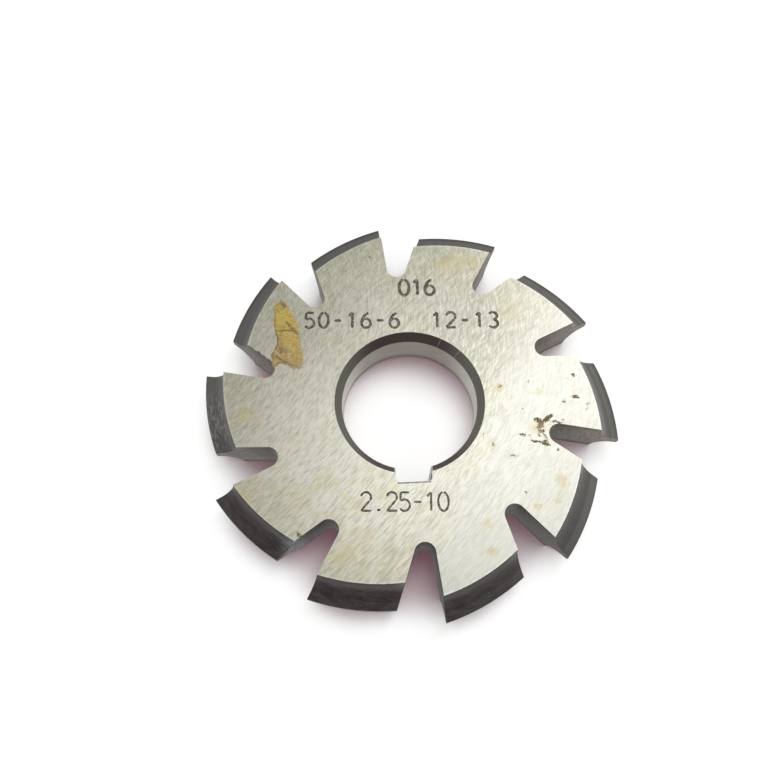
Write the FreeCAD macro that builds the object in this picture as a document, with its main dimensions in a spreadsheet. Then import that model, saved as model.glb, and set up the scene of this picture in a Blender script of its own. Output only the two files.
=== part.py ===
import FreeCAD, Part
import math
import os

import Sketcher
from FreeCAD import Placement, Rotation, Vector

# Involute gear cutter: one hardened disc with ten relieved teeth.
# The bore axis is Z, the lower face lies on z = 0 and the keyway points along -Y.
# One tooth is drawn with its rake face on the body's own XZ plane and repeated round the axis.
# The whole body is then turned about Z to bring the keyway to -Y.

NODE = "gear_cutter"

# Lengths are in millimetres and angles in degrees
SIZES = {
    # Disc and bore
    "tip_diameter": 50.0,
    "thickness": 6.0,
    "bore_diameter": 16.0,
    "mouth_width": 0.8,  # upper bore chamfer, across the face
    "mouth_depth": 1.1,  # upper bore chamfer, down the bore
    "back_chamfer": 0.5,  # lower bore chamfer, at 45 degrees
    # Keyway
    "keyway_width": 4.1,
    "keyway_depth": 1.7,  # from the bore wall, so that 17.7 is left across to the far side
    "keyway_corner": 0.5,
    "keyway_turn": 6.3,  # from the nearest rake face towards the middle of its gash
    # Gashes, the chip spaces between the teeth
    "teeth": 10,
    "gash_floor": 16.4,  # how near to the axis a gash comes
    "gash_round": 1.2,
    "gash_angle": 26.0,  # between a rake face and the back of the tooth before it
    # Tooth form, which is the space between two teeth of the gear that is cut
    "gear_module": 1.0,
    "gear_teeth": 12,
    "pressure_angle": 20.0,
    "addendum": 1.0,  # in modules
    "dedendum": 1.25,  # in modules
    "roll_angle": 2.56,  # how far the involute has unrolled where the form begins
    "tip_corner": 0.2,
    # Relief: behind its rake face a tooth follows arcs about an axis this far from the bore axis
    "relief_offset": 4.0,
    # How far each cut runs past the material
    "overrun": 1.0,
}

# Radii of the cutter and of the gear that it cuts, as formulas on the sheet
TIP = "Sizes.tip_diameter / 2"
RIM = f"{TIP} + Sizes.overrun"
BORE = "Sizes.bore_diameter / 2"
HALF = "Sizes.thickness / 2"
GEAR_PITCH = "Sizes.gear_module * Sizes.gear_teeth / 2"
GEAR_BASE = f"{GEAR_PITCH} * cos(Sizes.pressure_angle)"
GEAR_ROOT = f"({GEAR_PITCH} - Sizes.dedendum * Sizes.gear_module)"
GEAR_OUTER = f"({GEAR_PITCH} + Sizes.addendum * Sizes.gear_module)"
# Half the space between two gear teeth on the base circle, as an angle
BASE_SPACE = "(90 / Sizes.gear_teeth - tan(Sizes.pressure_angle) * 180 / pi + Sizes.pressure_angle)"
# The relief cut starts this much before a rake face and ends as much before the next one
LEAD = "Sizes.gash_angle / 4"

# Names for the points of a sketch: both ends and the centre of its geometry, and its origin
START, END, CENTRE = range(1, 4)
ORIGIN = (-1, 1)
X_AXIS = -1


def make_sheet(doc):
    """The spreadsheet of driving dimensions."""
    sheet = doc.addObject("Spreadsheet::Sheet", "Sizes")
    for row, (alias, size) in enumerate(SIZES.items(), start=1):
        sheet.set(f"A{row}", alias)
        sheet.set(f"B{row}", str(size))
        sheet.setAlias(f"B{row}", alias)
    doc.recompute()


def origin_feature(body, role):
    """The body's own axis or plane of this role."""
    return next(feature for feature in body.Origin.OriginFeatures if feature.Role == role)


class Drawing:
    """A sketch on one of the body's planes, with its sizes bound to the sheet."""

    def __init__(self, body, name, plane):
        self.sheet = body.Document.Sizes
        self.sketch = body.newObject("Sketcher::SketchObject", name)
        self.sketch.AttachmentSupport = [(origin_feature(body, plane), "")]
        self.sketch.MapMode = "FlatFace"

    def value(self, formula):
        """What a formula on the sheet comes to."""
        result = self.sheet.evalExpression(formula)
        return float(getattr(result, "Value", result))

    def spot(self, place):
        """The point at a place, which is a pair of formulas."""
        return Vector(self.value(place[0]), self.value(place[1]), 0)

    def line(self, start, end):
        return self.sketch.addGeometry(Part.LineSegment(start, end))

    def arc(self, centre, radius, first, last):
        """An arc that runs anticlockwise from the first direction to the last."""
        circle = Part.Circle(centre, Vector(0, 0, 1), radius)
        return self.sketch.addGeometry(Part.ArcOfCircle(circle, math.radians(first), math.radians(last)))

    def cubic(self, places):
        """A cubic curve whose four poles are held at the places."""
        curve = Part.BSplineCurve()
        curve.buildFromPolesMultsKnots([self.spot(place) for place in places], [4, 4], [0, 1], False, 3)
        geometry = self.sketch.addGeometry(curve)
        self.sketch.exposeInternalGeometry(geometry)
        for pole, place in enumerate(places, start=geometry + 1):
            self.pin(place, pole, CENTRE)
        return geometry

    def rule(self, *arguments):
        return self.sketch.addConstraint(Sketcher.Constraint(*arguments))

    def bind(self, formula, kind, *geometry):
        """A constraint of this kind whose value is tied to a formula on the sheet."""
        size = self.value(formula)
        index = self.rule(kind, *geometry, math.radians(size) if kind == "Angle" else size)
        self.sketch.setExpression(f"Constraints[{index}]", formula)

    def pin(self, place, geometry, point):
        """Holds a point at a place."""
        self.bind(place[0], "DistanceX", *ORIGIN, geometry, point)
        self.bind(place[1], "DistanceY", *ORIGIN, geometry, point)

    def chain(self, rule, *stops):
        """Joins each piece's end to the next one's start, by Coincident or Tangent."""
        for before, after in zip(stops, stops[1:]):
            self.rule(rule, before, END, after, START)

    def outline(self, places):
        """A closed run of straight lines with a corner at each place."""
        spots = [self.spot(place) for place in places]
        lines = [self.line(a, b) for a, b in zip(spots, spots[1:] + spots[:1])]
        self.chain("Coincident", *lines, lines[0])
        for line, place in zip(lines, places):
            self.pin(place, line, START)


def cut(body, kind, name, drawing, settings, formulas):
    """Takes a shape away from the body, and makes sure that it does."""
    body.Document.recompute()
    before = body.Shape.Volume
    feature = body.newObject(kind, name)
    feature.Profile = drawing.sketch
    for setting, choice in settings.items():
        setattr(feature, setting, choice)
    for setting, formula in formulas.items():
        feature.setExpression(setting, formula)
    body.Document.recompute()
    if not body.Shape.Volume < before:
        raise RuntimeError(f"{name} takes nothing away")
    return feature


def turned_blank(body):
    """The plain disc with its bore and both bore chamfers."""
    section = Drawing(body, "blank_section", "XZ_Plane")
    section.outline([
        (f"{BORE} + Sizes.back_chamfer", "0"),
        (TIP, "0"),
        (TIP, "Sizes.thickness"),
        (f"{BORE} + Sizes.mouth_width", "Sizes.thickness"),
        (BORE, "Sizes.thickness - Sizes.mouth_depth"),
        (BORE, "Sizes.back_chamfer"),
    ])
    blank = body.newObject("PartDesign::Revolution", "turned_blank")
    blank.Profile = section.sketch
    blank.ReferenceAxis = (origin_feature(body, "Z_Axis"), [""])
    blank.Angle = 360


def keyway(body):
    """The slot in the bore wall, with rounded corners along its floor."""
    slot = Drawing(body, "keyway_section", "XY_Plane")
    slot.sketch.AttachmentOffset = Placement(Vector(), Rotation(Vector(0, 0, -1), SIZES["keyway_turn"]))
    slot.sketch.setExpression("AttachmentOffset.Rotation.Angle", "Sizes.keyway_turn")
    floor = f"{BORE} + Sizes.keyway_depth"
    side = "Sizes.keyway_width / 2"
    depth, wall, corner = (slot.value(formula) for formula in (floor, side, "Sizes.keyway_corner"))
    shallow, narrow = depth - corner, wall - corner
    lower = slot.line(Vector(0, -wall, 0), Vector(shallow, -wall, 0))
    first = slot.arc(Vector(shallow, -narrow, 0), corner, -90, 0)
    end = slot.line(Vector(depth, -narrow, 0), Vector(depth, narrow, 0))
    second = slot.arc(Vector(shallow, narrow, 0), corner, 0, 90)
    upper = slot.line(Vector(shallow, wall, 0), Vector(0, wall, 0))
    back = slot.line(Vector(0, wall, 0), Vector(0, -wall, 0))
    slot.chain("Tangent", lower, first, end, second, upper)
    slot.chain("Coincident", upper, back, lower)
    slot.rule("Vertical", end)
    slot.rule("Equal", first, second)
    slot.bind("Sizes.keyway_corner", "Radius", first)
    slot.bind(floor, "DistanceX", *ORIGIN, end, START)
    slot.pin(("0", side), back, START)
    slot.pin(("0", f"-{side}"), back, END)
    cut(body, "PartDesign::Pocket", "keyway", slot, {"Type": "ThroughAll", "Midplane": True}, {})


def involute(roll):
    """Place and heading on the gear's involute at a roll in radians.

    The place is measured from the gear's centre, along the middle of the space and across it.
    The involute leaves the base circle at half the space there and turns outwards by its roll.
    """
    heading = f"({BASE_SPACE} + {roll} * 180 / pi)"
    along = f"{GEAR_BASE} * (cos({heading}) + {roll} * sin({heading}))"
    across = f"{GEAR_BASE} * (sin({heading}) - {roll} * cos({heading}))"
    return along, across, heading


def flank_curve(sign):
    """The poles of a cubic along the involute from near the tip out to the gear's rim.

    The outer two poles lie on the involute. Each inner one stands off its neighbour along the
    flank by a third of the whole roll times the involute's speed, the base radius times the roll.
    The tip of the cutter reaches the gear's root circle. The headings at both ends come with them.
    """
    first_roll = "Sizes.roll_angle * pi / 180"
    last_roll = f"sqrt(({GEAR_OUTER} / ({GEAR_BASE})) ^ 2 - 1)"
    poles = []
    for roll, forward in ((first_roll, 1), (last_roll, -1)):
        along, across, heading = involute(roll)
        step = f"{forward} * {GEAR_BASE} * {roll} * ({last_roll} - {first_roll}) / 3"
        inner = (f"{along} + {step} * cos({heading})", f"{across} + {step} * sin({heading})")
        poles += [(along, across), inner][::forward]
    places = [(f"{TIP} + {GEAR_ROOT} - ({along})", f"{sign} * ({across})") for along, across in poles]
    return places, involute(first_roll)[2], involute(last_roll)[2]


def flank(form, sign):
    """One flank of the tooth form, above the middle plane or, where sign is -1, below it.

    A small corner at the tip leads to a straight stretch, then to the involute and then to an
    arc that runs out square to the side face. Returns the tip corner and the run-out arc, and
    which of their ends point away from the involute.
    """
    places, first, last = flank_curve(sign)
    curve = form.cubic(places)
    begin, end = form.spot(places[0]), form.spot(places[-1])
    outer, inner = (START, END) if sign > 0 else (END, START)

    # The tip corner touches the tip and a straight line that leaves the involute at its start.
    heading = form.value(first)
    cosine, sine = math.cos(math.radians(heading)), math.sin(math.radians(heading))
    radius = form.value("Sizes.tip_corner")
    run = (form.value(TIP) - radius * (1 - sine) - begin.x) / cosine
    touch = begin + Vector(cosine, -sign * sine, 0) * run
    corner = form.arc(touch - Vector(sine, sign * cosine, 0) * radius, radius,
                      *sorted((0, sign * (90 - heading))))
    straight = form.line(begin, touch)
    form.rule("Tangent", straight, START, curve, START)
    form.rule("Tangent", straight, END, corner, inner)
    form.bind("Sizes.tip_corner", "Radius", corner)

    # The run-out arc has its centre level with the side face.
    heading = form.value(last)
    cosine, sine = math.cos(math.radians(heading)), math.sin(math.radians(heading))
    radius = (form.value(HALF) - sign * end.y) / cosine
    run_out = form.arc(end + Vector(sine, sign * cosine, 0) * radius, radius,
                       *sorted((180, 180 + sign * (90 - heading))))
    form.rule("Tangent", curve, END, run_out, inner)
    form.bind(f"{sign} * {HALF}", "DistanceY", *ORIGIN, run_out, CENTRE)
    form.bind(f"{sign} * {HALF}", "DistanceY", *ORIGIN, run_out, outer)
    return corner, run_out, outer


def tooth_form(body):
    """What lies outside the tooth on its rake face, with the middle plane as the sketch's X axis."""
    form = Drawing(body, "tooth_form", "XZ_Plane")
    form.sketch.AttachmentOffset = Placement(Vector(0, form.value(HALF), 0), Rotation())
    form.sketch.setExpression("AttachmentOffset.Base.y", HALF)
    upper_corner, upper_run_out, upper_outer = flank(form, 1)
    lower_corner, lower_run_out, lower_outer = flank(form, -1)

    tip = form.value(TIP)
    width = form.value("Sizes.tip_corner")
    face = form.line(Vector(tip, width, 0), Vector(tip, -width, 0))
    form.rule("Tangent", face, START, upper_corner, upper_outer)
    form.rule("Tangent", face, END, lower_corner, lower_outer)
    form.rule("Vertical", face)
    form.bind(TIP, "DistanceX", *ORIGIN, face, START)

    # The section closes past the side faces, and past the rim even where the swing brings it in.
    beyond = f"{HALF} + Sizes.overrun"
    outside = f"{RIM} + Sizes.relief_offset"
    side, clear, rim = (form.value(formula) for formula in (HALF, beyond, outside))
    inner = form.sketch.getPoint(upper_run_out, upper_outer).x
    corners = [Vector(inner, side, 0), Vector(inner, clear, 0), Vector(rim, clear, 0),
               Vector(rim, -clear, 0), Vector(inner, -clear, 0), Vector(inner, -side, 0)]
    rise, top, back, floor, drop = (form.line(a, b) for a, b in zip(corners, corners[1:]))
    form.rule("Coincident", upper_run_out, upper_outer, rise, START)
    form.chain("Coincident", rise, top, back, floor, drop)
    form.rule("Coincident", drop, END, lower_run_out, lower_outer)
    for upright in (rise, drop):
        form.rule("Vertical", upright)
    for level in (top, floor):
        form.rule("Horizontal", level)
    form.pin((outside, beyond), back, START)
    form.pin((outside, f"-({beyond})"), back, END)
    return form


def relief(body):
    """The cut that gives one tooth its form, swung about an axis beside the bore axis.

    The tooth then falls away behind its rake face and keeps its form when that face is ground.
    """
    form = tooth_form(body)
    axis = body.newObject("PartDesign::Line", "relief_axis")
    axis.Placement = Placement(Vector(0, -SIZES["relief_offset"], 0), Rotation())
    axis.setExpression("Placement.Base.y", "-Sizes.relief_offset")
    return cut(body, "PartDesign::Groove", "relief", form,
               {"ReferenceAxis": (axis, [""]), "Type": "TwoAngles"},
               {"Angle": f"360 / Sizes.teeth - {LEAD}", "Angle2": LEAD})


def gash(body):
    """The chip space before one rake face, with a round floor."""
    space = Drawing(body, "gash_section", "XY_Plane")
    centre = "Sizes.gash_floor + Sizes.gash_round"
    middle, radius, rim, angle = (space.value(formula) for formula in (
        centre, "Sizes.gash_round", RIM, "Sizes.gash_angle"))
    slope = math.radians(angle)
    touch = Vector(middle - radius * math.sin(slope), -radius * (1 + math.cos(slope)), 0)
    far = Vector(rim, touch.y - (rim - touch.x) * math.tan(slope), 0)
    rake = space.line(Vector(rim, 0, 0), Vector(middle, 0, 0))
    floor = space.arc(Vector(middle, -radius, 0), radius, 90, 270 - angle)
    back = space.line(touch, far)
    mouth = space.line(far, Vector(rim, 0, 0))
    space.chain("Tangent", rake, floor, back)
    space.chain("Coincident", back, mouth, rake)
    space.rule("PointOnObject", rake, START, X_AXIS)
    space.rule("Horizontal", rake)
    space.rule("Vertical", mouth)
    space.bind(RIM, "DistanceX", *ORIGIN, rake, START)
    space.bind(centre, "DistanceX", *ORIGIN, floor, CENTRE)
    space.bind("Sizes.gash_round", "Radius", floor)
    space.bind("-Sizes.gash_angle", "Angle", back)
    return cut(body, "PartDesign::Pocket", "gash", space, {"Type": "ThroughAll", "Midplane": True}, {})


def repeat_teeth(body, *features):
    """The relief and the gash repeated for every tooth."""
    ring = body.newObject("PartDesign::PolarPattern", "tooth_ring")
    ring.Originals = list(features)
    ring.Axis = (origin_feature(body, "Z_Axis"), [""])
    ring.Angle = 360
    ring.setExpression("Occurrences", "Sizes.teeth")
    body.Tip = ring


def gear_cutter(doc):
    """The whole cutter as one body."""
    body = doc.addObject("PartDesign::Body", NODE)
    body.Label = NODE
    turned_blank(body)
    keyway(body)
    repeat_teeth(body, relief(body), gash(body))
    body.Placement = Placement(Vector(), Rotation(Vector(0, 0, -1), 90 - SIZES["keyway_turn"]))
    body.setExpression("Placement.Rotation.Angle", "90 - Sizes.keyway_turn")
    doc.recompute()
    return body


def check(doc, body):
    """Stops before anything is written if a feature has failed or the body isn't one sound solid."""
    failed = [thing.Label for thing in doc.Objects if {"Invalid", "Error"} & set(thing.State)]
    if failed:
        raise RuntimeError("not built: " + ", ".join(failed))
    if body.Shape.isNull() or not body.Shape.isValid() or len(body.Shape.Solids) != 1:
        raise RuntimeError(f"{body.Label} isn't one sound solid")


def main():
    os.makedirs("parts", exist_ok=True)
    doc = FreeCAD.newDocument("involute_gear_cutter")
    make_sheet(doc)
    body = gear_cutter(doc)
    check(doc, body)
    body.Shape.exportStep(f"parts/{body.Label}.step")
    box = body.Shape.BoundBox
    print(f"{body.Label}: {box.XLength:.3f} x {box.YLength:.3f} x {box.ZLength:.3f} mm,"
          f" {body.Shape.Volume:.1f} cubic mm, {len(body.Shape.Faces)} faces")


main()
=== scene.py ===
import math
from types import SimpleNamespace

import bpy
import numpy as np
from mathutils import Euler, Matrix


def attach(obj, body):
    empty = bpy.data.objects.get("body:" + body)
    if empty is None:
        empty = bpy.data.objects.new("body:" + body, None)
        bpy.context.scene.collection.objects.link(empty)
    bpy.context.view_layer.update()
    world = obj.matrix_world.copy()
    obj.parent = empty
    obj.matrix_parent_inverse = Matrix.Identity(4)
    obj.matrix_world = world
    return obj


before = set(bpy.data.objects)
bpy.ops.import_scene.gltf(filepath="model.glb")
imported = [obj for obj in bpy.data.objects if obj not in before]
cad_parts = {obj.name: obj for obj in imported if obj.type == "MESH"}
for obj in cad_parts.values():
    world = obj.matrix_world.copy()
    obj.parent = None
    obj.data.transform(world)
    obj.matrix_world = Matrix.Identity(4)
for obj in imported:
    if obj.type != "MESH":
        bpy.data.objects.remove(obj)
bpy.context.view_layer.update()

# The cutter lies flat with its bore along Z, its keyway towards -Y and its lower face on z = 0.
# Lengths below are in millimetres and become metres where a mesh or a material is made.
MM = 0.001
THICK = 6.0
TEETH = 10
RAKE_ANGLE = -83.7  # one rake face's place round the bore, in degrees; the others follow each 36
FACE_CORNER = 22.355  # radius at which a side face ends, at a rake face
RELIEF_OFFSET = 4.0
BORE = 8.0
MOUTH_WIDTH, MOUTH_DEPTH, BACK_CHAMFER = 0.8, 1.1, 0.5
KEYWAY_FLOOR, KEYWAY_HALF = 9.7, 2.05
HAIR = 0.02  # how far a point may lie off a surface and still be counted with it
GASH_CENTRE, GASH_ROUND, GASH_ANGLE = 17.6, 1.2, 26.0


# Materials


def maths(operation, turned=False):
    """A method that adds a Math node for an operation, with its two values turned round if asked."""
    def method(self, *others):
        values = (*others, self) if turned else (self, *others)
        return self.paint.node("ShaderNodeMath", {"operation": operation}, values)[0]
    return method


class Shade:
    """A socket of a material's node tree, on which arithmetic adds Math nodes."""

    def __init__(self, paint, socket):
        self.paint, self.socket = paint, socket

    __add__ = maths("ADD")
    __radd__ = maths("ADD", turned=True)
    __sub__ = maths("SUBTRACT")
    __rsub__ = maths("SUBTRACT", turned=True)
    __mul__ = maths("MULTIPLY")
    __rmul__ = maths("MULTIPLY", turned=True)
    __truediv__ = maths("DIVIDE")
    __abs__ = maths("ABSOLUTE")
    __lt__ = maths("LESS_THAN")
    __gt__ = maths("GREATER_THAN")
    sqrt = maths("SQRT")
    sin = maths("SINE")
    cos = maths("COSINE")
    atan2 = maths("ARCTAN2")
    least = maths("MINIMUM")
    most = maths("MAXIMUM")

    def wrap(self, low, high):
        """The value brought between low and high by whole turns."""
        return self.paint.node("ShaderNodeMath", {"operation": "WRAP"}, [self, high, low])[0]

    def ramp(self, low, high):
        """0 below low, 1 above high and a smooth rise between; high below low turns it round."""
        settings = {"interpolation_type": "SMOOTHSTEP", "clamp": True}
        return self.paint.node("ShaderNodeMapRange", settings,
                               {"Value": self, "From Min": low, "From Max": high})[0]


class Paint:
    """A material and the nodes that are added to it."""

    def __init__(self, name, **constants):
        self.material = bpy.data.materials.new(name)
        self.material.use_nodes = True
        self.tree = self.material.node_tree
        self.surface = self.tree.nodes["Principled BSDF"]
        for socket, value in constants.items():
            self.surface.inputs[socket.replace("_", " ")].default_value = value

    def node(self, kind, settings=None, inputs=()):
        """Adds a node: its settings first, then the values or links of its sockets. Returns its outputs."""
        node = self.tree.nodes.new(kind)
        for setting, value in (settings or {}).items():
            setattr(node, setting, value)
        pairs = inputs.items() if isinstance(inputs, dict) else enumerate(inputs)
        for key, value in pairs:
            self.feed(node.inputs[key], value)
        return [Shade(self, output) for output in node.outputs if output.enabled]

    def feed(self, socket, value):
        if isinstance(value, Shade):
            self.tree.links.new(value.socket, socket)
        elif isinstance(value, tuple) and len(value) == 3 and len(socket.default_value) == 4:
            socket.default_value = (*value, 1.0)
        else:
            socket.default_value = value

    def place(self):
        """The three Object coordinates, in millimetres."""
        coordinates = self.node("ShaderNodeTexCoord")[3]
        return [axis / MM for axis in self.node("ShaderNodeSeparateXYZ", None, [coordinates])]

    def point(self, x, y, z):
        return self.node("ShaderNodeCombineXYZ", None, [x, y, z])[0]

    def noise(self, point, scale, detail=2.0, roughness=0.5, distortion=0.0):
        """Noise about 0.5 that varies over 1 / scale of the point's own units."""
        return self.node("ShaderNodeTexNoise", {"noise_dimensions": "3D"},
                         {"Vector": point, "Scale": scale, "Detail": detail,
                          "Roughness": roughness, "Distortion": distortion})[0]

    def mix(self, share, under, over):
        """The colour over, laid on the colour under by a share."""
        mixed = self.tree.nodes.new("ShaderNodeMix")
        mixed.data_type = "RGBA"
        for place, value in zip((0, 6, 7), (share, under, over)):
            self.feed(mixed.inputs[place], value)
        return Shade(self, mixed.outputs[2])

    def marks(self, x, y, table, feather=0.5):
        """How deep the elongated marks of a table are at x and y, fading over their outer part."""
        total = None
        for mark_x, mark_y, length, width, turn, depth in table:
            cosine, sine = math.cos(math.radians(turn)), math.sin(math.radians(turn))
            along = (x - mark_x) * (cosine / length) + (y - mark_y) * (sine / length)
            across = (y - mark_y) * (cosine / width) - (x - mark_x) * (sine / width)
            near = (along * along + across * across).ramp(1.0 + feather, 1.0 - feather) * depth
            total = near if total is None else total.most(near)
        return total

    def bump(self, height, strength, distance, under=None):
        inputs = {"Strength": strength, "Distance": distance * MM, "Height": height}
        if under is not None:
            inputs["Normal"] = under
        return self.node("ShaderNodeBump", None, inputs)[0]

    def finish(self, **links):
        for socket, value in links.items():
            self.feed(self.surface.inputs[socket.replace("_", " ")], value)
        return self.material


def distance(x, y, centre_x, centre_y):
    """How far a point lies from a centre, in plan."""
    return ((x - centre_x) * (x - centre_x) + (y - centre_y) * (y - centre_y)).sqrt()


def zones(paint):
    """Where on the cutter a point lies, from its place alone, with masks for its surfaces.

    The angle behind the nearest rake face and the radius tell flanks, rake faces and gashes
    apart. The radius alone tells the bore, and the height the side faces.
    """
    x, y, z = paint.place()
    radius = (x * x + y * y).sqrt()
    pitch = 2 * math.pi / TEETH
    behind = (y.atan2(x) - math.radians(RAKE_ANGLE)).wrap(0.0, pitch)
    ahead = pitch - behind
    from_rake = (radius * behind.sin()).least(radius * ahead.sin())

    # The radius at which the relieved tooth's side face ends, and the flat back of the gash,
    # which leaves the gash's round floor where they touch
    sine = behind.sin()
    limit = (sine * sine * RELIEF_OFFSET ** 2 + FACE_CORNER ** 2).sqrt() - sine * RELIEF_OFFSET
    edge = limit - radius
    slope = math.radians(GASH_ANGLE)
    touch = (GASH_CENTRE - GASH_ROUND * math.sin(slope), -GASH_ROUND * (1 + math.cos(slope)))
    from_back = abs((radius * ahead.sin() + touch[1]) * math.cos(slope)
                    - (radius * ahead.cos() - touch[0]) * math.sin(slope))

    face = abs(z - THICK / 2) > THICK / 2 - 0.004
    wall = radius < BORE + MOUTH_WIDTH + HAIR
    rake = (from_rake < HAIR) * (radius > GASH_CENTRE - 0.05)
    flank = (edge < HAIR) * (from_rake > HAIR) * (from_back > HAIR * 1.5)
    return SimpleNamespace(x=x, y=y, z=z, here=paint.point(x, y, z), radius=radius, behind=behind,
                           edge=edge, face=face, wall=wall, rake=rake, flank=flank)


# The colours of each finish and of the painted shade, highlights and reflections, as linear red, green and
# blue
DULL_STEEL = (0.500, 0.495, 0.405)
GROUND_STEEL = (0.560, 0.552, 0.462)
LEFT_HIGHLIGHT_STEEL = (0.720, 0.710, 0.620)
PATINA = (0.590, 0.545, 0.350)
YELLOWED_STEEL = (0.500, 0.480, 0.340)
RIGHT_HIGHLIGHT_STEEL = (0.600, 0.597, 0.565)
DARK_STEEL = (0.400, 0.395, 0.340)
BRIGHT_SCRATCH = (0.72, 0.71, 0.635)
DARK_SCRATCH = (0.330, 0.327, 0.265)
GRIT = (0.30, 0.29, 0.24)
FACE_EDGE_HIGHLIGHT = (0.80, 0.80, 0.75)
YELLOW_STAIN = (0.640, 0.535, 0.270)
RUST_HALO = (0.480, 0.400, 0.230)
OLIVE_RUST = (0.270, 0.230, 0.125)
DARK_RUST = (0.140, 0.118, 0.066)
ORANGE_RUST = (0.330, 0.185, 0.078)
CHIPPED_FACE = (0.115, 0.075, 0.062)
KEYWAY_LIP = (0.110, 0.100, 0.095)
SHADED_OXIDE = (0.068, 0.054, 0.056)
LIT_OXIDE = (0.205, 0.200, 0.188)
OXIDE_LINE = (0.190, 0.184, 0.174)
OXIDE_GRIT = (0.27, 0.26, 0.24)
SCUFFED_OXIDE = (0.42, 0.42, 0.40)
FLANK_EDGE_HIGHLIGHT = (0.38, 0.38, 0.36)
FLANK_HIGHLIGHT = (0.600, 0.600, 0.580)
TIP_SHADE = (0.070, 0.065, 0.060)
KNOCKED_STEEL = (0.330, 0.340, 0.350)
GASH_TOP_SHADE = (0.018, 0.015, 0.015)
GASH_PINK_REFLECTION = (0.100, 0.068, 0.073)
GASH_BROWN = (0.170, 0.147, 0.134)
GASH_GREY = (0.280, 0.250, 0.230)
GASH_CLOUD = (0.105, 0.094, 0.084)
GASH_FLECK = (0.350, 0.350, 0.330)
GASH_EDGE_SHADE = (0.060, 0.050, 0.046)
CHIPPED_GASH = (0.075, 0.045, 0.040)
RAKE_TOP_SHADE = (0.034, 0.029, 0.029)
RAKE_PINK_REFLECTION = (0.075, 0.058, 0.058)
RAKE_BROWN = (0.195, 0.164, 0.147)
RAKE_GREY = (0.285, 0.250, 0.225)
RAKE_EDGE_SHADE = (0.070, 0.050, 0.048)
BORE_WALL = (0.520, 0.495, 0.450)
BORE_LINE = (0.670, 0.645, 0.600)
BORE_BACK_SHADE = (0.205, 0.180, 0.150)
BORE_FOOT_SHADE = (0.13, 0.085, 0.08)
BROWN_CHAMFER = (0.118, 0.093, 0.085)
GREY_CHAMFER = (0.270, 0.262, 0.232)
PALE_NICK = (0.40, 0.38, 0.34)
BRIGHT_NICK = (0.50, 0.48, 0.44)
BROWN_RESIDUE = (0.560, 0.400, 0.160)
YELLOW_RESIDUE = (0.690, 0.520, 0.100)
DARK_MOTTLE = (0.400, 0.250, 0.075)
DARK_GRAIN = (0.400, 0.260, 0.070)
PALE_GRAIN = (0.820, 0.720, 0.360)
ORANGE_RESIDUE = (0.640, 0.350, 0.085)
PURPLE_BLOT = (0.200, 0.120, 0.100)
CREASE = (0.170, 0.110, 0.045)
THIN_RIM = (0.560, 0.500, 0.300)
BROWN_RIM = (0.300, 0.195, 0.090)
ETCHING = (0.105, 0.088, 0.066)
ETCHING_FLECK = (0.30, 0.27, 0.22)
FLOOR_SHADOW = (0.05, 0.0, 0.01)
FLOOR_GLOW = (0.56, 0.61, 0.59)

# Marks on the upper face: x and y, half-length, half-width, turn in degrees, and how deep its colour is.
# The chips lie on the edge between the face and tooth ten's back.
RUST = [
    (14.77, -3.11, 0.64, 0.26, -35, 1.0), (15.81, -2.92, 0.77, 0.23, 32, 1.0),
    (16.14, -2.60, 0.23, 0.21, 0, 1.0), (16.92, -3.35, 0.69, 0.11, -8, 0.9),
    (15.00, -3.65, 0.35, 0.27, 0, 0.6), (14.59, -4.69, 0.52, 0.13, 93, 0.6),
    (15.05, -4.45, 0.29, 0.18, 8, 0.8), (12.76, -4.68, 0.40, 0.13, 3, 0.9),
    (14.13, -5.56, 0.59, 0.15, -13, 1.0), (15.17, -5.88, 0.53, 0.24, -24, 1.0),
    (15.44, -5.65, 0.20, 0.18, 0, 1.0), (16.58, -6.68, 0.19, 0.19, 0, 0.6),
    (19.57, 2.41, 0.30, 0.18, 0, 0.8), (19.32, -0.36, 0.46, 0.16, -11, 0.9),
    (18.04, -0.86, 0.20, 0.14, 18, 0.7), (14.08, 1.78, 0.19, 0.24, 0, 0.35),
    (13.06, -1.55, 0.09, 0.09, 0, 0.7), (20.48, -1.97, 0.35, 0.06, 50, 0.6),
    (-4.50, 13.14, 0.15, 0.12, 0, 0.8), (-4.00, 19.40, 0.22, 0.16, 0, 0.6),
    (12.34, -11.40, 0.13, 0.18, 0, 0.6), (-12.95, -15.10, 0.38, 0.20, -40, 0.9),
    (10.64, 1.25, 0.40, 0.18, 28, 0.5), (9.25, -5.73, 0.30, 0.16, 75, 0.5),
    (8.20, -4.60, 0.30, 0.10, 80, 0.5), (14.75, -4.00, 0.50, 0.30, 80, 0.5),
    (15.30, -5.00, 0.34, 0.20, -60, 0.6), (17.60, -3.10, 0.30, 0.10, 10, 0.5),
    (13.60, -4.95, 0.20, 0.10, 60, 0.5), (10.30, 3.40, 0.30, 0.10, 60, 0.4),
    (20.70, -1.30, 0.30, 0.10, 60, 0.5), (18.70, 1.90, 0.16, 0.12, 0, 0.4),
    (11.50, -7.10, 0.50, 0.10, -10, 0.45),
]
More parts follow.
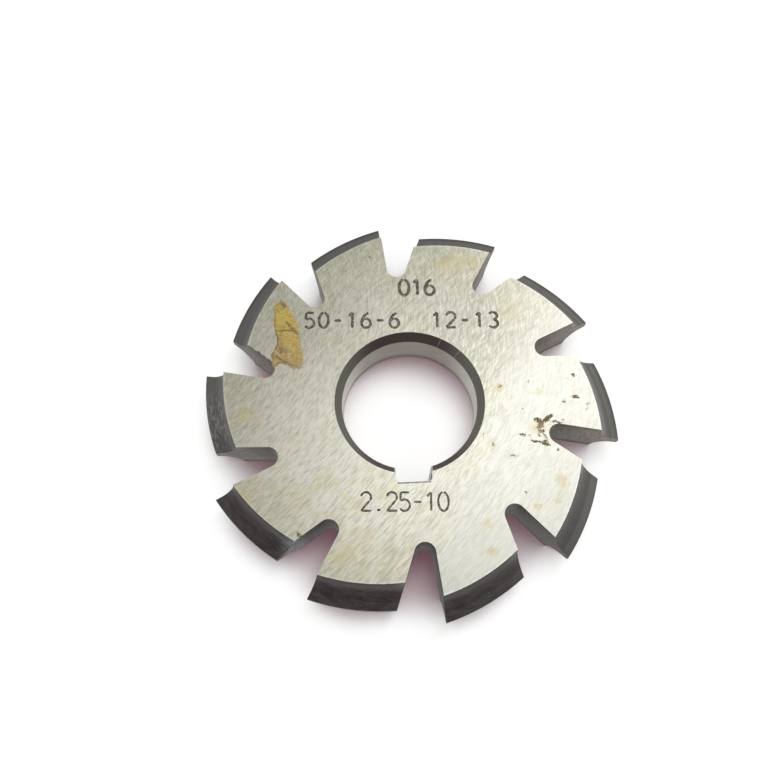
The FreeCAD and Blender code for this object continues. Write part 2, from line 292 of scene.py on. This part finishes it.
STAINS = [
    (10.60, 1.20, 0.80, 0.50, 28, 0.6), (9.25, -5.73, 0.60, 0.40, 75, 0.6),
    (13.39, -7.68, 0.37, 0.10, 0, 0.6), (15.18, 0.43, 0.47, 0.41, 0, 0.5),
    (10.84, -1.56, 0.49, 0.23, -40, 0.6), (14.97, -3.95, 1.30, 0.90, 0, 0.6),
    (16.53, -10.20, 0.67, 0.88, 0, 0.8), (13.43, -13.07, 0.50, 0.40, 0, 1.0),
    (16.07, -12.46, 0.65, 0.35, 31, 0.8), (8.09, -17.73, 0.60, 0.40, 0, 0.8),
    (7.58, -14.99, 0.90, 0.70, 0, 0.5), (11.25, -7.19, 0.55, 0.16, 0, 0.5),
    (-18.60, -1.00, 1.40, 1.00, 0, 0.9), (-8.30, -17.60, 1.40, 1.10, 0, 0.9),
    (-6.30, -15.10, 1.20, 0.80, 0, 0.6), (-12.60, -11.70, 1.20, 0.80, 0, 0.5),
    (-19.50, -10.30, 1.40, 0.70, -41, 0.7), (6.80, 17.90, 2.80, 1.20, 0, 0.9),
    (12.70, 11.40, 1.50, 1.40, 0, 0.4), (-16.00, 4.00, 1.20, 0.50, 30, 0.5),
]
CHIPS = [
    (-18.68, 7.52, 0.60, 0.09, -38, 0.8), (-17.76, 6.82, 0.32, 0.16, -38, 1.0),
    (-17.10, 6.36, 0.24, 0.08, -38, 0.7), (-16.50, 5.90, 0.20, 0.06, -38, 0.6),
]


def patterns(paint, at):
    """Adds the clouds, specks, lines and scuffs that several surfaces share."""
    at.cloud = paint.noise(at.here, 0.16, 3.0, 0.55)
    at.blotch = paint.noise(at.here, 0.45, 4.0, 0.6, 0.4)
    at.speck = paint.noise(at.here, 2.6, 3.0, 0.6)
    at.grit = paint.noise(at.here, 7.0, 3.0, 0.7)
    around = at.behind * 20.0
    at.line = paint.noise(paint.point(around * 0.8, at.radius * 2.6, at.z * 3.0), 1.0, 4.0, 0.65)
    at.scuff = paint.noise(paint.point(around * 1.2, at.radius * 3.0, at.z * 1.6), 1.4, 5.0, 0.7)
    at.knocked = distance(at.x, at.y, -13.6, -16.3).ramp(2.2, 0.7) * at.scuff.ramp(0.32, 0.62)
    # Painted highlight: a zone on the lower right where the face is painted paler; plain is smaller there,
    # so the scratches and their relief fade
    at.ground = (at.x * 0.85 - at.y * 0.4 + (at.cloud - 0.5) * 5.0).ramp(4.0, 13.0)
    at.plain = 1 - at.ground * 0.6


def grinding(paint, at):
    """Adds the side faces' grinding scratches: noises stretched along arcs about far centres."""
    def scratches(centre_x, centre_y, fine, coarse):
        away = distance(at.x, at.y, centre_x, centre_y)
        turn = (at.y - centre_y).atan2(at.x - centre_x)
        return paint.noise(paint.point(away * fine, turn * coarse, at.z * 0.3), 1.0, 3.0, 0.6)

    at.broad_scratch = scratches(150.0, -150.0, 2.8, 170.0)
    at.long_scratch = scratches(150.0, -150.0, 5.2, 60.0)
    short_scratch = scratches(170.0, -120.0, 5.5, 210.0)
    cross_scratch = scratches(-34.0, 14.0, 5.0, 26.0)
    flat_scratch = scratches(85.0, -150.0, 5.5, 150.0)
    low = (at.y - at.x * 0.3).ramp(6.0, -8.0)
    at.scratch = at.broad_scratch * 0.24 + at.long_scratch * 0.18 \
        + short_scratch * (1 - low) * 0.22 + flat_scratch * low * 0.22 + cross_scratch * 0.36


def dirt(paint, at):
    """Adds the upper face's stains, rust and chips, whose outlines sway with two noises."""
    x, y, z = at.x, at.y, at.z
    upper = z > THICK - 0.01
    sway_x = (paint.noise(at.here, 2.2, 4.0, 0.75) - 0.5) * 1.1
    sway_y = (paint.noise(paint.point(y, z, x), 2.2, 4.0, 0.75) - 0.5) * 1.1
    at.fray = paint.noise(at.here, 5.5, 3.0, 0.6)
    stain = paint.marks(x + sway_x * 1.4, y + sway_y * 1.4, STAINS, 0.9) * upper
    at.stain = stain * (0.4 + at.blotch.ramp(0.35, 0.6) * 0.6)
    at.mark = paint.marks(x + sway_x, y + sway_y, RUST, 0.95) * upper
    at.rust = (at.mark * (1.0 + (at.fray - 0.5) * 4.0)).ramp(0.20, 0.85)
    chip = paint.marks(x + sway_x * 0.3, y + sway_y * 0.3, CHIPS, 0.8)
    at.chip = chip * (z + (at.speck - 0.5) * 0.8).ramp(5.2, 5.6)


def side_face(paint, at):
    """Ground steel with yellowed areas, a darker patch and painted highlights, its scratches, and then its
    dirt.
    """
    face = paint.mix(at.cloud.ramp(0.35, 0.65), DULL_STEEL, GROUND_STEEL)
    # Painted highlight: a broad brighter area round -9, -7, on the lower left
    left_highlight = distance(at.x, at.y, -9.0, -7.0).ramp(16.0, 6.0)
    face = paint.mix(left_highlight * 0.7, face, LEFT_HIGHLIGHT_STEEL)
    patina = 0.45 + (at.y + at.x * 0.3).ramp(0.0, -14.0) * 0.4
    yellowed = (at.blotch * 0.6 + at.broad_scratch * 0.4).ramp(0.47, 0.64)
    face = paint.mix(yellowed * patina, face, PATINA)
    face = paint.mix(at.edge.ramp(7.0, 1.0) * 0.4, face, YELLOWED_STEEL)
    # Painted highlight: paler, more neutral steel in the lower right zone
    face = paint.mix(at.ground * 0.65, face, RIGHT_HIGHLIGHT_STEEL)
    # A darker round patch about 8.5, 8.5
    dull = distance(at.x, at.y, 8.5, 8.5).ramp(9.0, 2.0)
    face = paint.mix(dull * 0.55, face, DARK_STEEL)
    face = paint.mix(at.scratch.ramp(0.46, 0.62) * 0.65 * at.plain, face, BRIGHT_SCRATCH)
    face = paint.mix(at.scratch.ramp(0.53, 0.37) * 0.6 * at.plain, face, DARK_SCRATCH)
    face = paint.mix(at.grit.ramp(0.55, 0.70) * 0.25, face, GRIT)
    # Painted highlight: a thin bright line along the face's outer edges, broken up by specks
    rim = at.edge.ramp(0.30, 0.04)
    face = paint.mix(rim * at.speck.ramp(0.30, 0.6) * 0.4, face, FACE_EDGE_HIGHLIGHT)

    face = paint.mix(at.stain * 0.6, face, YELLOW_STAIN)
    face = paint.mix(at.mark.ramp(0.01, 0.5) * 0.5, face, RUST_HALO)
    olive = paint.mix((at.fray * 0.6 + at.rust * 0.3).ramp(0.40, 0.65), OLIVE_RUST, DARK_RUST)
    tint = paint.noise(at.here, 1.7, 2.0, 0.5)
    brown = paint.mix(tint.ramp(0.50, 0.60), olive, ORANGE_RUST)
    face = paint.mix(at.rust * 0.88, face, brown)
    face = paint.mix(at.chip * 0.85, face, CHIPPED_FACE)
    lip = (abs(at.y + KEYWAY_FLOOR + 0.08) + (at.speck - 0.5) * 0.15).ramp(0.10, 0.05)
    lip = lip * (abs(at.x) < KEYWAY_HALF - 0.15)
    return paint.mix(lip * 0.8, face, KEYWAY_LIP)


def flanks(paint, at):
    """Dark oxide with specks and light scuffs, under painted shade and painted highlights."""
    # Painted shade: the oxide is darker and brownish on the keyway's side and greyer opposite
    height = at.y + at.x * 0.35
    oxide = paint.mix(height.ramp(-25.0, -1.0), SHADED_OXIDE, LIT_OXIDE)
    flank = paint.mix(at.line.ramp(0.38, 0.66) * 0.3, oxide, OXIDE_LINE)
    flank = paint.mix(at.grit.ramp(0.60, 0.72) * 0.35, flank, OXIDE_GRIT)
    scuffed = distance(at.x, at.y, -24.0, -1.0).ramp(5.5, 1.5)
    scuffs = at.scuff.ramp(0.62, 0.74) * 0.3 + at.scuff.ramp(0.46, 0.60) * scuffed * 0.6
    flank = paint.mix(scuffs, flank, SCUFFED_OXIDE)
    uneven = at.edge + (at.speck - 0.5) * 0.4
    # Painted highlight: a lighter band on the flank beside the side faces, stronger on the upper side
    flank_edge_highlight = uneven.ramp(-0.80, -0.05) * (0.25 + height.ramp(-10.0, 8.0) * 0.35)
    flank = paint.mix(flank_edge_highlight, flank, FLANK_EDGE_HIGHLIGHT)
    # Painted highlight: the flanks of the upper right teeth, towards the lamp, are pale except at their
    # tips
    flank_highlight = uneven.ramp(-1.9, -0.3) * (at.x * 0.8 + at.y * 0.6).ramp(6.0, 22.0)
    flank = paint.mix(flank_highlight * 0.6, flank, FLANK_HIGHLIGHT)
    # Painted shade: the teeth's tips are darker, more on the upper side
    flank = paint.mix(at.edge.ramp(-1.9, -2.5) * height.ramp(-6.0, 12.0) * 0.5, flank, TIP_SHADE)
    return paint.mix(at.knocked * 0.6, flank, KNOCKED_STEEL)


def gashes(paint, at):
    """Gashes and rake faces: light away from the keyway; beside it dark in painted shade and faintly red in
    a painted reflection.
    """
    shade = (at.y + (at.x - 6.0).most(0.0) * 0.6 + (at.blotch - 0.5) * 4.0).ramp(-17.0, -4.5)
    # Painted shade beside the keyway: dark at the top, and reddish lower down as a painted reflection of
    # the floor's pink shadow
    low_gash = paint.mix(at.z.ramp(5.7, 2.5), GASH_TOP_SHADE, GASH_PINK_REFLECTION)
    high_gash = paint.mix(at.blotch.ramp(0.35, 0.65), GASH_BROWN, GASH_GREY)
    high_gash = paint.mix(at.scuff.ramp(0.50, 0.38) * 0.6, high_gash, GASH_CLOUD)
    high_gash = paint.mix(at.speck.ramp(0.52, 0.66) * 0.35, high_gash, GASH_FLECK)
    # Painted shade along the walls' foot, where they meet the floor, and more faintly along their upper
    # edge
    edges = at.z.ramp(1.0, 0.1) * 0.7 + at.z.ramp(5.6, 5.98) * 0.25
    high_gash = paint.mix(edges, high_gash, GASH_EDGE_SHADE)
    gash = paint.mix(at.knocked * 0.8, paint.mix(shade, low_gash, high_gash), KNOCKED_STEEL)
    gash = paint.mix(at.chip * 0.85, gash, CHIPPED_GASH)
    rake_line = paint.noise(paint.point(at.radius * 3.5, at.behind, at.z * 0.8), 1.0, 3.0, 0.6)
    # The same painted shade and painted pink reflection on the rake faces beside the keyway
    low_rake = paint.mix(at.z.ramp(5.6, 2.0), RAKE_TOP_SHADE, RAKE_PINK_REFLECTION)
    high_rake = paint.mix(rake_line.ramp(0.35, 0.65), RAKE_BROWN, RAKE_GREY)
    # The same painted shade at the rake faces' foot and upper edge
    edges = at.z.ramp(1.1, 0.1) * 0.7 + at.z.ramp(5.2, 5.95) * 0.35
    high_rake = paint.mix(edges, high_rake, RAKE_EDGE_SHADE)
    return gash, paint.mix(shade, low_rake, high_rake)


def bore_wall(paint, at):
    """The bore: a light wall between dark chamfers with light radial nicks, and painted shade at the wall's
    back and foot.
    """
    radius, z = at.radius, at.z
    turn = at.y.atan2(at.x)
    line = paint.noise(paint.point(z * 5.0, turn * 2.5, radius), 1.0, 3.0, 0.6)
    wall = paint.mix(line.ramp(0.35, 0.65), BORE_WALL, BORE_LINE)
    # Painted shade: the wall is darker at its back, towards +y
    wall = paint.mix(at.y.ramp(2.5, 7.5) * 0.7, wall, BORE_BACK_SHADE)
    # Painted shade at the wall's foot, reddish as a painted reflection of the floor's pink shadow
    wall = paint.mix(z.ramp(1.6, 0.5) * 0.7, wall, BORE_FOOT_SHADE)
    mouth = (radius - BORE) - (z - (THICK - MOUTH_DEPTH)) * (MOUTH_WIDTH / MOUTH_DEPTH)
    back = (radius - BORE) - (BACK_CHAMFER - z)
    keyway = (abs(at.x) < KEYWAY_HALF + 0.15) * (at.y < -7.6)
    chamfer = ((abs(mouth) < 0.05) * (z > THICK - MOUTH_DEPTH)).most(
        (abs(back) < 0.05) * (z < BACK_CHAMFER)) * (1 - keyway)
    nick = paint.noise(paint.point(turn * 26.0, radius * 0.4, 0.0), 1.0, 2.0, 0.7)
    dark = paint.mix(abs(at.x).ramp(3.5, 8.0), BROWN_CHAMFER, GREY_CHAMFER)
    dark = paint.mix(nick.ramp(0.66, 0.78) * 0.4, dark, PALE_NICK)
    for place in (45.0, 62.5):
        cut = (abs(turn - math.radians(place) + (radius - BORE) * 0.03) * radius).ramp(0.08, 0.02)
        dark = paint.mix(cut * at.speck.ramp(0.25, 0.55) * 0.55, dark, BRIGHT_NICK)
    return paint.mix(chamfer, wall, dark)


def steel():
    """The cutter's steel: the colour of each of its zones, and one roughness, metal and relief."""
    paint = Paint("hardened_steel", Metallic=1.0)
    at = zones(paint)
    patterns(paint, at)
    grinding(paint, at)
    dirt(paint, at)
    gash, rake = gashes(paint, at)
    colour = paint.mix(at.rake, gash, rake)
    colour = paint.mix(at.flank, colour, flanks(paint, at))
    colour = paint.mix(at.wall, colour, bore_wall(paint, at))
    colour = paint.mix(at.face, colour, side_face(paint, at))

    rough = at.face * (0.40 - (at.scratch - 0.5) * 0.12 + at.rust * 0.45) \
        + (1 - at.face) * (0.55 + (at.blotch - 0.5) * 0.2)
    metal = 1 - at.face * (at.rust * 0.85).most(at.stain * 0.4)
    relief = at.face * at.long_scratch * at.plain + (1 - at.face) * at.line
    normal = paint.bump(relief, 0.10, 0.01)
    normal = paint.bump(at.face * at.rust * at.fray, 0.3, 0.03, normal)
    return paint.finish(Base_Color=colour, Roughness=rough, Metallic=metal, Normal=normal)


def creased(x, y, sway):
    """How deep the residue's creases are at x and y, as bent lines that a sway makes uneven."""
    deepest = None
    for line in CREASES:
        for (x1, y1), (x2, y2) in zip(line, line[1:]):
            length = math.hypot(x2 - x1, y2 - y1)
            ux, uy = (x2 - x1) / length, (y2 - y1) / length
            along, across = (x - x1) * ux + (y - y1) * uy, (y - y1) * ux - (x - x1) * uy
            past = (0.0 - along).most(along - length)
            near = abs(across + sway).most(past).ramp(0.24, 0.03)
            deepest = near if deepest is None else deepest.most(near)
    return deepest


def residue():
    """Dried ochre residue: dull and wrinkled, with creases, blots and a thin brown rim."""
    paint = Paint("dry_residue", Metallic=0.0)
    x, y, z = paint.place()
    here = paint.point(x, y, z)
    rim = paint.node("ShaderNodeAttribute", {"attribute_name": "rim"})[2]
    cloud = paint.noise(here, 1.1, 4.0, 0.6)
    grain = paint.noise(paint.point(x * 1.5, y * 3.6, z), 1.5, 5.0, 0.7, 0.8)
    mottle = paint.noise(here, 1.1, 5.0, 0.72, 0.6)
    patch = paint.noise(here, 0.8, 3.0, 0.6)
    colour = paint.mix((y + (patch - 0.5) * 9.0).ramp(5.0, 10.5), BROWN_RESIDUE, YELLOW_RESIDUE)
    colour = paint.mix(mottle.ramp(0.48, 0.62) * 0.6, colour, DARK_MOTTLE)
    colour = paint.mix(grain.ramp(0.50, 0.60) * 0.5, colour, DARK_GRAIN)
    colour = paint.mix(grain.ramp(0.48, 0.36) * 0.65, colour, PALE_GRAIN)
    sway_x, sway_y = (mottle - 0.5) * 1.7, (grain - 0.5) * 1.2
    colour = paint.mix(paint.marks(x + sway_x, y + sway_y, GLOWS, 0.9) * 0.75, colour, ORANGE_RESIDUE)
    blot = (paint.marks(x + sway_x, y + sway_y, BLOTS, 0.95) * (0.9 + (mottle - 0.5) * 3.0)).ramp(0.10, 1.3)
    colour = paint.mix(blot * 0.8, colour, PURPLE_BLOT)
    seam = creased(x, y, (mottle - 0.5) * 0.7) * mottle.ramp(0.30, 0.55)
    colour = paint.mix(seam * 0.75, colour, CREASE)
    thin = (rim + (mottle - 0.5) * 0.5).ramp(0.82, 1.02)
    colour = paint.mix(thin * x.ramp(-15.0, -13.2) * 0.75, colour, THIN_RIM)
    colour = paint.mix(thin * x.ramp(-13.6, -15.2) * 0.6, colour, BROWN_RIM)
    normal = paint.bump(grain + cloud - seam * 0.8, 0.5, 0.06)
    return paint.finish(Base_Color=colour, Roughness=0.50 + (grain - 0.5) * 0.5, Normal=normal)


def etching():
    """The oxide of etched numbers: brown grey with paler flecks."""
    paint = Paint("etched_oxide", Metallic=0.6)
    x, y, z = paint.place()
    fleck = paint.noise(paint.point(x, y, z), 3.4, 4.0, 0.7)
    colour = paint.mix(fleck.ramp(0.44, 0.62), ETCHING, ETCHING_FLECK)
    normal = paint.bump(fleck, 0.5, 0.02)
    return paint.finish(Base_Color=colour, Roughness=0.55 + (fleck - 0.5) * 0.3, Normal=normal)


# Pieces


def piece(name, points, faces, material):
    """A mesh with points in millimetres, which rides on the cutter's only body."""
    mesh = bpy.data.meshes.new(name)
    mesh.from_pydata((np.asarray(points) * MM).tolist(), [], faces)
    mesh.polygons.foreach_set("use_smooth", np.ones(len(mesh.polygons), bool))
    mesh.materials.append(material)
    thing = bpy.data.objects.new(name, mesh)
    bpy.context.scene.collection.objects.link(thing)
    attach(thing, "root")
    return thing


def ring_faces(rows, columns, start=0):
    """Faces between successive rings of points, with a cap at each end. Rings run anticlockwise."""
    here = np.arange(rows * columns).reshape(rows, columns) + start
    after = np.roll(here, -1, axis=1)
    sides = np.stack([here[:-1], after[:-1], after[1:], here[1:]], axis=-1).reshape(-1, 4)
    return sides.tolist() + [here[0][::-1].tolist(), here[-1].tolist()]


def bow(centre_x, centre_y, across, up, first, last, count=22):
    """A stretch of an ellipse between two directions in degrees."""
    turn = np.radians(np.linspace(first, last, count))
    return np.column_stack([centre_x + across * np.cos(turn), centre_y + up * np.sin(turn)])


def run(*stops, count=8):
    """Straight stretches from stop to stop."""
    stops = np.array(stops, float)
    along = np.linspace(0, len(stops) - 1, count * (len(stops) - 1) + 1)
    return np.column_stack([np.interp(along, np.arange(len(stops)), stops[:, k]) for k in (0, 1)])


# The strokes of each figure in a cell 0.6 wide and 1 high
FIGURES = {
    "0": [bow(0.30, 0.50, 0.27, 0.49, 95, 448)],
    "1": [run((0.12, 0.76), (0.33, 0.99)), run((0.33, 0.99), (0.33, 0.01))],
    "2": [bow(0.30, 0.72, 0.26, 0.27, 170, -38), run((0.50, 0.555), (0.04, 0.02)),
          run((0.04, 0.02), (0.58, 0.02))],
    "3": [bow(0.29, 0.75, 0.24, 0.24, 150, -88), bow(0.29, 0.26, 0.27, 0.25, 88, -150)],
    "5": [run((0.54, 0.98), (0.10, 0.98)), run((0.10, 0.98), (0.07, 0.55)),
          bow(0.29, 0.31, 0.27, 0.30, 136, -150)],
    "6": [bow(0.30, 0.30, 0.26, 0.29, 90, 450), bow(0.62, 0.30, 0.58, 0.69, 108, 178)],
    "-": [run((0.10, 0.48), (0.50, 0.48))],
    ".": [run((0.20, 0.04), (0.40, 0.08))],
    " ": [],
}

# Each line of numbers: its figures, where its base line starts and ends, its height and its stroke
LINES = [
    ("016", (-0.60, 13.78), (3.90, 13.70), 2.25, 0.38),
    ("50-16-6  12-13", (-12.30, 9.86), (11.30, 8.94), 2.10, 0.34),
    ("2.25-10", (-6.20, -12.76), (3.70, -13.18), 2.15, 0.25),
]


def stroke_rings(path, half):
    """Thin ellipses carried along a path, one row of points for each station.

    The half-width rises and falls as a half circle at the two ends and wavers a little
    between them, by a sum of two sines.
    """
    sides, rise = 10, 0.008
    around = np.linspace(0, 2 * np.pi, sides, endpoint=False)
    reach = np.concatenate([[0.0], np.cumsum(np.hypot(*np.diff(path, axis=0).T))])
    ends = half * (1 - np.cos(np.linspace(0, np.pi / 2, 6)))
    inner = np.linspace(half, max(reach[-1] - half, half * 1.01), max(6, int(reach[-1] / 0.1)))
    stations = np.concatenate([ends[:-1], inner, reach[-1] - ends[:-1][::-1]])
    stations = np.clip(stations, 0.004, reach[-1] - 0.004)
    line = np.column_stack([np.interp(stations, reach, path[:, k]) for k in (0, 1)])
    heading = np.gradient(line, axis=0)
    heading /= np.hypot(*heading.T)[:, None] + 1e-12
    normal = np.column_stack([-heading[:, 1], heading[:, 0]])
    inset = np.clip(np.minimum(stations, reach[-1] - stations) / half, 0, 1)
    waver = 1 + 0.10 * np.sin(line[:, 0] * 9.1 + line[:, 1] * 5.3)
    waver += 0.07 * np.sin(line[:, 1] * 17.0)
    spread = half * waver * np.sqrt(1 - (1 - inset) ** 2)
    flat = line[:, None] + normal[:, None] * (spread[:, None] * np.cos(around))[..., None]
    level = THICK + np.sin(around)[None] * rise * (spread[:, None] / half)
    return np.dstack([flat, level])


def numbers():
    """Etched plain numbers, as flat strokes with round ends laid in the upper face."""
    points, faces, start = [], [], 0
    for figures, begin, end, height, stroke in LINES:
        begin, end = np.array(begin), np.array(end)
        length = np.hypot(*(end - begin))
        ahead = (end - begin) / length
        up = np.array([-ahead[1], ahead[0]])
        pitch = (length - 0.6 * height) / (len(figures) - 1)
        for place, figure in enumerate(figures):
            for path in FIGURES[figure]:
                path = begin + ahead * (place * pitch + path[:, :1] * height) + up * path[:, 1:] * height
                rings = stroke_rings(path, stroke / 2)
                rows, columns = rings.shape[:2]
                points.append(rings.reshape(-1, 3))
                faces += ring_faces(rows, columns, start)
                start += rows * columns
    piece("etched_numbers", np.concatenate(points), faces, etching())


# The residue's outline on tooth ten, its creases, and its dark blots and orange glows
FLAKE = [
    (-15.13, 13.80), (-14.51, 13.36), (-14.02, 12.24), (-13.29, 11.13), (-12.92, 10.30),
    (-12.85, 9.50), (-12.80, 8.43), (-12.69, 7.63), (-12.45, 6.58), (-12.38, 5.53),
    (-12.53, 4.64), (-13.05, 4.58), (-13.64, 4.50), (-14.00, 4.88), (-14.48, 5.11),
    (-15.07, 5.34), (-15.67, 5.03), (-16.02, 4.79), (-16.14, 5.31), (-16.10, 5.95),
    (-16.35, 6.48), (-16.04, 6.86), (-15.81, 7.37), (-15.53, 8.02), (-15.65, 8.82),
    (-15.83, 9.62), (-16.01, 10.43), (-15.97, 11.24), (-15.85, 12.05), (-16.10, 12.61),
    (-15.74, 13.14),
]
CREASES = [
    [(-15.89, 9.60), (-14.48, 9.63), (-13.37, 9.50)],
    [(-14.43, 10.71), (-13.67, 9.79), (-13.07, 9.15)],
    [(-15.61, 6.24), (-14.66, 5.50), (-13.76, 5.03), (-12.97, 4.78)],
    [(-15.80, 9.60), (-15.50, 8.59), (-15.52, 7.71), (-16.05, 6.75)],
]
BLOTS = [
    (-14.72, 12.95, 0.55, 0.32, -29, 1.0), (-15.41, 12.68, 0.50, 0.20, 20, 0.7),
    (-14.85, 6.95, 0.62, 0.46, -13, 1.0), (-15.10, 7.70, 0.45, 0.32, 31, 0.6),
    (-15.15, 8.90, 0.75, 0.35, 81, 0.6), (-15.20, 5.36, 0.40, 0.18, -13, 1.0),
    (-13.37, 4.64, 0.60, 0.16, -11, 1.0), (-16.10, 6.60, 0.45, 0.20, -34, 0.7),
    (-14.08, 10.53, 0.60, 0.35, -49, 0.35), (-14.50, 5.50, 0.60, 0.18, -30, 0.8),
]
GLOWS = [
    (-13.88, 11.54, 0.55, 0.36, 0, 0.9), (-13.60, 8.20, 0.60, 0.40, 20, 0.4),
    (-15.40, 6.00, 0.50, 0.40, 0, 0.4),
]


def residue_flake():
    """A thin flake on the upper face, as rings drawn in from its outline to a middle point.

    Its height is a low plateau that falls off at the rim, with ridges beside the creases and
    ripples made of sines. The outline wavers by a sum of sines of the way round.
    """
    rings, columns, film, curl = 26, 260, 0.035, 0.03
    outline = np.array(FLAKE)[::-1]
    closed = np.vstack([outline, outline[:1]])
    reach = np.concatenate([[0.0], np.cumsum(np.hypot(*np.diff(closed, axis=0).T))])
    way = np.linspace(0, reach[-1], columns, endpoint=False)
    rim = np.column_stack([np.interp(way, reach, closed[:, k]) for k in (0, 1)])
    turn = 2 * np.pi * way / reach[-1]
    middle = np.array([-14.3, 8.9])
    jag = 1 + 0.014 * np.sin(23 * turn + 1.0) + 0.012 * np.sin(41 * turn) + 0.008 * np.sin(71 * turn + 2.0)
    rim = middle + (rim - middle) * jag[:, None]
    share = np.sin(np.linspace(0.02, 1, rings) * np.pi / 2)[:, None]
    flat = middle + (rim[None] - middle) * share[..., None]
    x, y = flat[..., 0], flat[..., 1]
    fall = np.sqrt(np.clip(1 - share ** 14, 0, 1))
    ripple = 0.5 + 0.25 * np.sin(5.1 * y + 1.7 * np.sin(1.9 * x)) + 0.25 * np.sin(3.3 * x - 2.2 * y)
    crease = np.zeros_like(x)
    for (x1, y1), (x2, y2) in (pair for line in CREASES for pair in zip(line, line[1:])):
        span = (x2 - x1) ** 2 + (y2 - y1) ** 2
        along = np.clip(((x - x1) * (x2 - x1) + (y - y1) * (y2 - y1)) / span, 0, 1)
        away = np.hypot(x - x1 - along * (x2 - x1), y - y1 - along * (y2 - y1))
        crease = np.maximum(crease, np.exp(-(away / 0.18) ** 2) - 0.7 * np.exp(-(away / 0.06) ** 2))
    lifted = curl * share ** 6 * (0.5 + 0.5 * np.sin(9 * turn + 0.8))
    top = THICK + fall * (film * (0.55 + 0.45 * ripple) + 0.02 * crease + lifted) + 0.004
    under = np.full_like(top, THICK - 0.02)
    upper = np.dstack([x, y, np.broadcast_to(top, x.shape)])
    lower = np.dstack([x, y, under])[::-1]
    points = np.concatenate([upper, lower]).reshape(-1, 3)
    flake = piece("residue_flake", points, ring_faces(2 * rings, columns), residue())
    share = np.broadcast_to(share, x.shape)
    rim = flake.data.attributes.new("rim", "FLOAT", "POINT")
    rim.data.foreach_set("value", np.concatenate([share, share[::-1]]).ravel())


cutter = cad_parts["gear_cutter"]
cutter.data.materials.clear()
cutter.data.materials.append(steel())
numbers()
residue_flake()

# Floor, light and camera


def floor_material():
    """A pale floor that shows near white and keeps the shadow, which is deepest close to the steel."""
    paint = Paint("pale_floor")
    tree = paint.tree
    tree.nodes.remove(paint.surface)
    diffuse = tree.nodes.new("ShaderNodeBsdfDiffuse")
    diffuse.inputs["Color"].default_value = (0.80, 0.70, 0.73, 1.0)
    glow = tree.nodes.new("ShaderNodeEmission")
    rays = tree.nodes.new("ShaderNodeLightPath")
    rays_glossy = Shade(paint, rays.outputs["Is Glossy Ray"])
    seen = rays_glossy.most(Shade(paint, rays.outputs["Is Camera Ray"])).most(
        Shade(paint, rays.outputs["Is Transmission Ray"]))
    towards_lamp = paint.point(0.18, 0.52, 0.83)
    open_sky = paint.node("ShaderNodeAmbientOcclusion", {"samples": 16},
                          {"Distance": 8.0 * MM, "Normal": towards_lamp})[1]
    lit = open_sky.ramp(0.20, 0.68).most(rays_glossy)
    paint.feed(glow.inputs["Color"], paint.mix(lit, FLOOR_SHADOW, FLOOR_GLOW))
    paint.feed(glow.inputs["Strength"], seen)
    both = tree.nodes.new("ShaderNodeAddShader")
    tree.links.new(diffuse.outputs[0], both.inputs[0])
    tree.links.new(glow.outputs[0], both.inputs[1])
    tree.links.new(both.outputs[0], tree.nodes["Material Output"].inputs["Surface"])
    return paint.material


def make_floor():
    """A flat square well past the camera's view."""
    half = 1.5
    mesh = bpy.data.meshes.new("floor")
    corners = np.array([(-half, -half, 0), (half, -half, 0), (half, half, 0), (-half, half, 0)])
    mesh.from_pydata(corners.tolist(), [], [(0, 1, 2, 3)])
    floor = bpy.data.objects.new("floor", mesh)
    bpy.context.scene.collection.objects.link(floor)
    mesh.materials.append(floor_material())


def aim(thing, place, target, roll):
    """Puts a lamp at a place in millimetres, facing a target, its width turned by some degrees."""
    away = np.array(place, float) - np.array(target, float)
    back = away / np.linalg.norm(away)
    side = np.cross((0.0, 1.0, 0.0), back)
    side /= np.linalg.norm(side)
    up = np.cross(back, side)
    cosine, sine = math.cos(math.radians(roll)), math.sin(math.radians(roll))
    side, up = side * cosine + up * sine, up * cosine - side * sine
    turn = Matrix((side, up, back)).transposed().to_4x4()
    turn.translation = np.array(place, float) * MM
    thing.matrix_world = turn


def area_lamp(name, place, target, width, height, roll, power):
    """A rectangular lamp, with its place and size in millimetres and its power in watts."""
    data = bpy.data.lights.new(name, "AREA")
    data.shape = "RECTANGLE"
    data.size, data.size_y = width * MM, height * MM
    data.energy = power
    lamp = bpy.data.objects.new(name, data)
    bpy.context.scene.collection.objects.link(lamp)
    aim(lamp, place, target, roll)


def light():
    """An even pale sky and one long soft lamp, high to the upper right."""
    world = bpy.data.worlds.new("studio")
    bpy.context.scene.world = world
    world.use_nodes = True
    sky = world.node_tree.nodes["Background"]
    sky.inputs["Color"].default_value = (1.0, 1.0, 1.0, 1.0)
    sky.inputs["Strength"].default_value = 0.5
    area_lamp("key", (125, 145, 400), (0, 0, 6), 320, 130, 35, 0.43)


def camera():
    """The photograph's camera: its place and turn come from a fit to the cutter's edges."""
    data = bpy.data.cameras.new("camera")
    sensor, focal_pixels, photo_pixels = 36.0, 757.5, 768.0
    data.sensor_width = sensor
    data.lens = sensor * focal_pixels / photo_pixels
    data.clip_start = 0.005
    view = bpy.data.objects.new("camera", data)
    bpy.context.scene.collection.objects.link(view)
    tilt, roll, swing = (math.radians(angle) for angle in (21.0168, 0.0791, -2.4020))
    turn = Euler((tilt, roll, swing)).to_matrix().to_4x4()
    turn.translation = (-4.15 * MM, -29.81 * MM, 89.35 * MM)
    view.matrix_world = turn
    bpy.context.scene.camera = view


make_floor()
light()
camera()
bpy.context.scene.view_settings.view_transform = "Standard"
